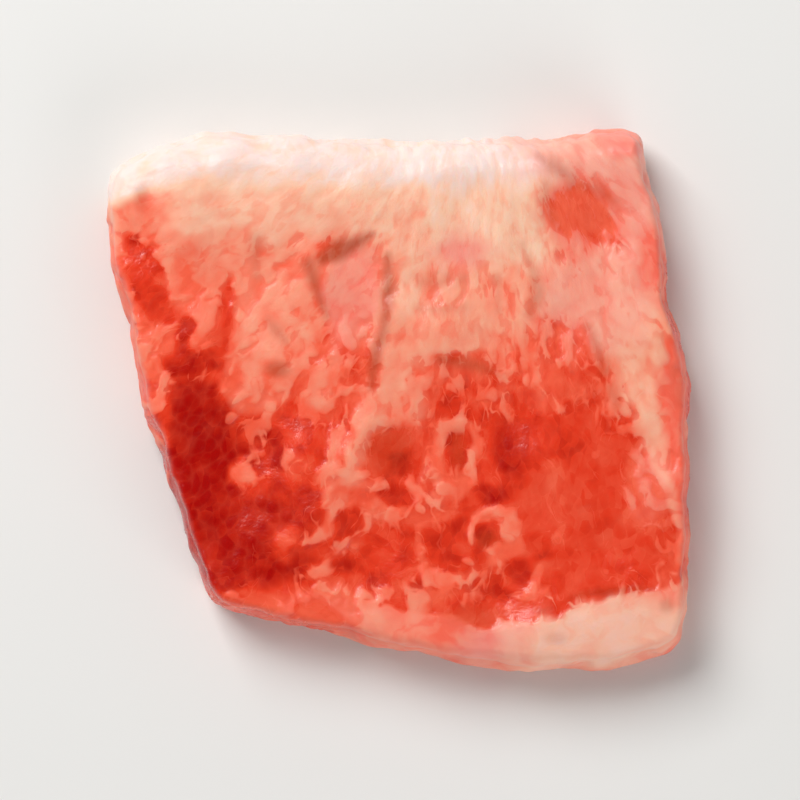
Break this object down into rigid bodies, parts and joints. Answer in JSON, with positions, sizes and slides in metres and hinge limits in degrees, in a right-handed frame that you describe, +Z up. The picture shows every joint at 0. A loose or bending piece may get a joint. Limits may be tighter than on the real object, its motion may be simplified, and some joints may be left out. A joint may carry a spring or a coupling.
{
  "type": "raw beef short rib slice",
  "caption": "Boneless slice of raw beef short rib with a thick rounded fat cap along one side, marbled lean, and uneven knife-cut sides.",
  "frame": {"origin": "under the middle of the slice's box, on the plane it rests on", "axes": "+Z up, out of the cut face that shows; +X across the slice; +Y towards the side with the fat cap"},
  "size_m": [0.0534, 0.0496, 0.0078],
  "materials": {
    "raw_beef": "moist raw meat, coral-red lean marbled with cream and peach fat"
  },
  "bodies": {
    "root": {"short_rib_slice": "raw_beef"}
  },
  "joints": []
}
